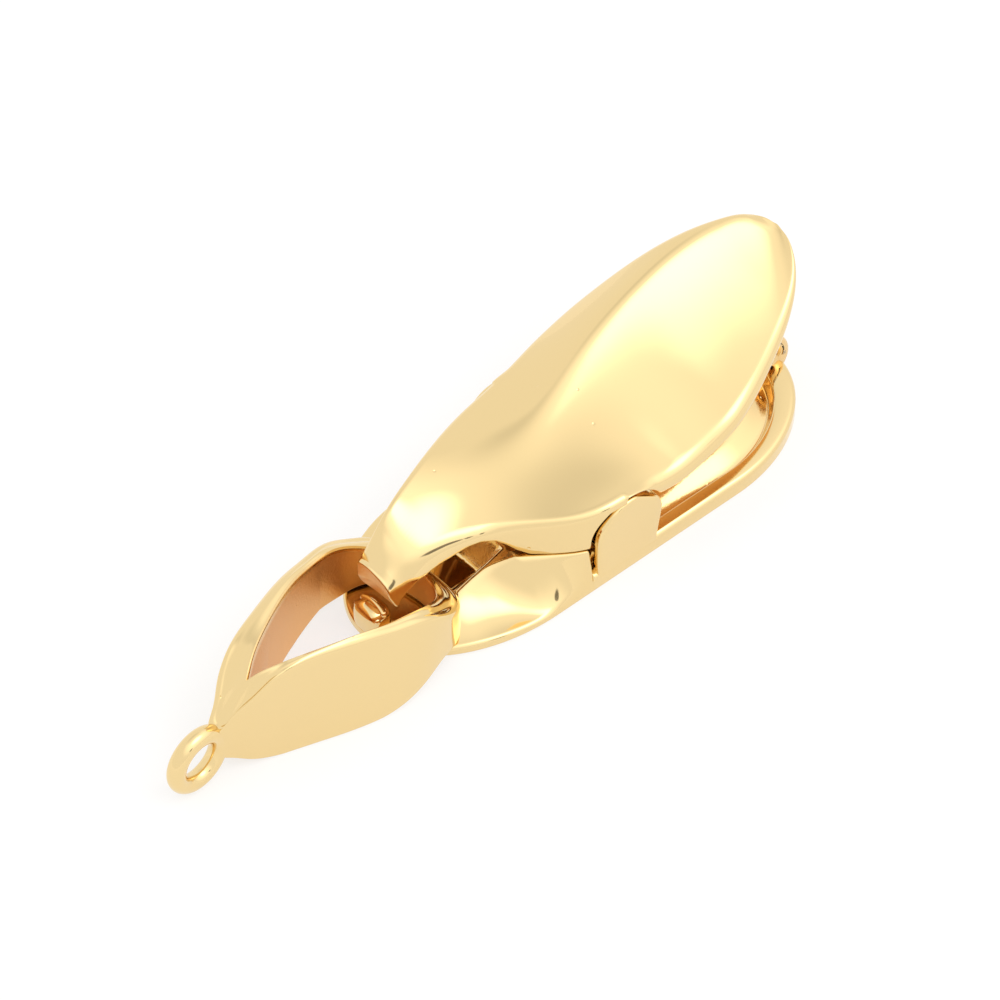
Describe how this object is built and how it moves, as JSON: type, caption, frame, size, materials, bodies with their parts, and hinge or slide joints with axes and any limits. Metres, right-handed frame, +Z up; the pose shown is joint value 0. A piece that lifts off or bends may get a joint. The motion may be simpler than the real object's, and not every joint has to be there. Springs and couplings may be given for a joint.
{
  "type": "interlocking clasp",
  "caption": "Clip clasp for a bracelet: a sprung leaf-shaped lever pinned over a boat-shaped base, holding a tall leaf-shaped link with a soldered end ring in its mouth.",
  "frame": {"origin": "on the base's underside, straight below the hinge pin, in the middle plane of the base", "axes": "+X from the link towards the lever's thumb end, +Y along the hinge pin to the side away from the picture's viewer, +Z up from the table"},
  "size_m": [0.037, 0.0094, 0.0082],
  "materials": {
    "gold_plated_brass": "mirror-polished light gold plating over cast brass"
  },
  "bodies": {
    "base": {"base": "gold_plated_brass", "hinge_pin": "gold_plated_brass"},
    "lever": {"lever": "gold_plated_brass"},
    "link": {"link": "gold_plated_brass"}
  },
  "joints": [
    {"name": "lever_hinge", "type": "hinge", "parent": "base", "child": "lever", "pos_m": [0, 0, 0.0025], "axis": [0, 1, 0], "range_deg": [0, 16], "stiffness_Nm_per_rad": 0.02, "springref_deg": -17.19},
    {"name": "link_swing", "type": "hinge", "parent": "base", "child": "link", "pos_m": [-0.00785, -0.0002, 0.0016], "axis": [0, 1, 0], "range_deg": [0, 12]}
  ]
}
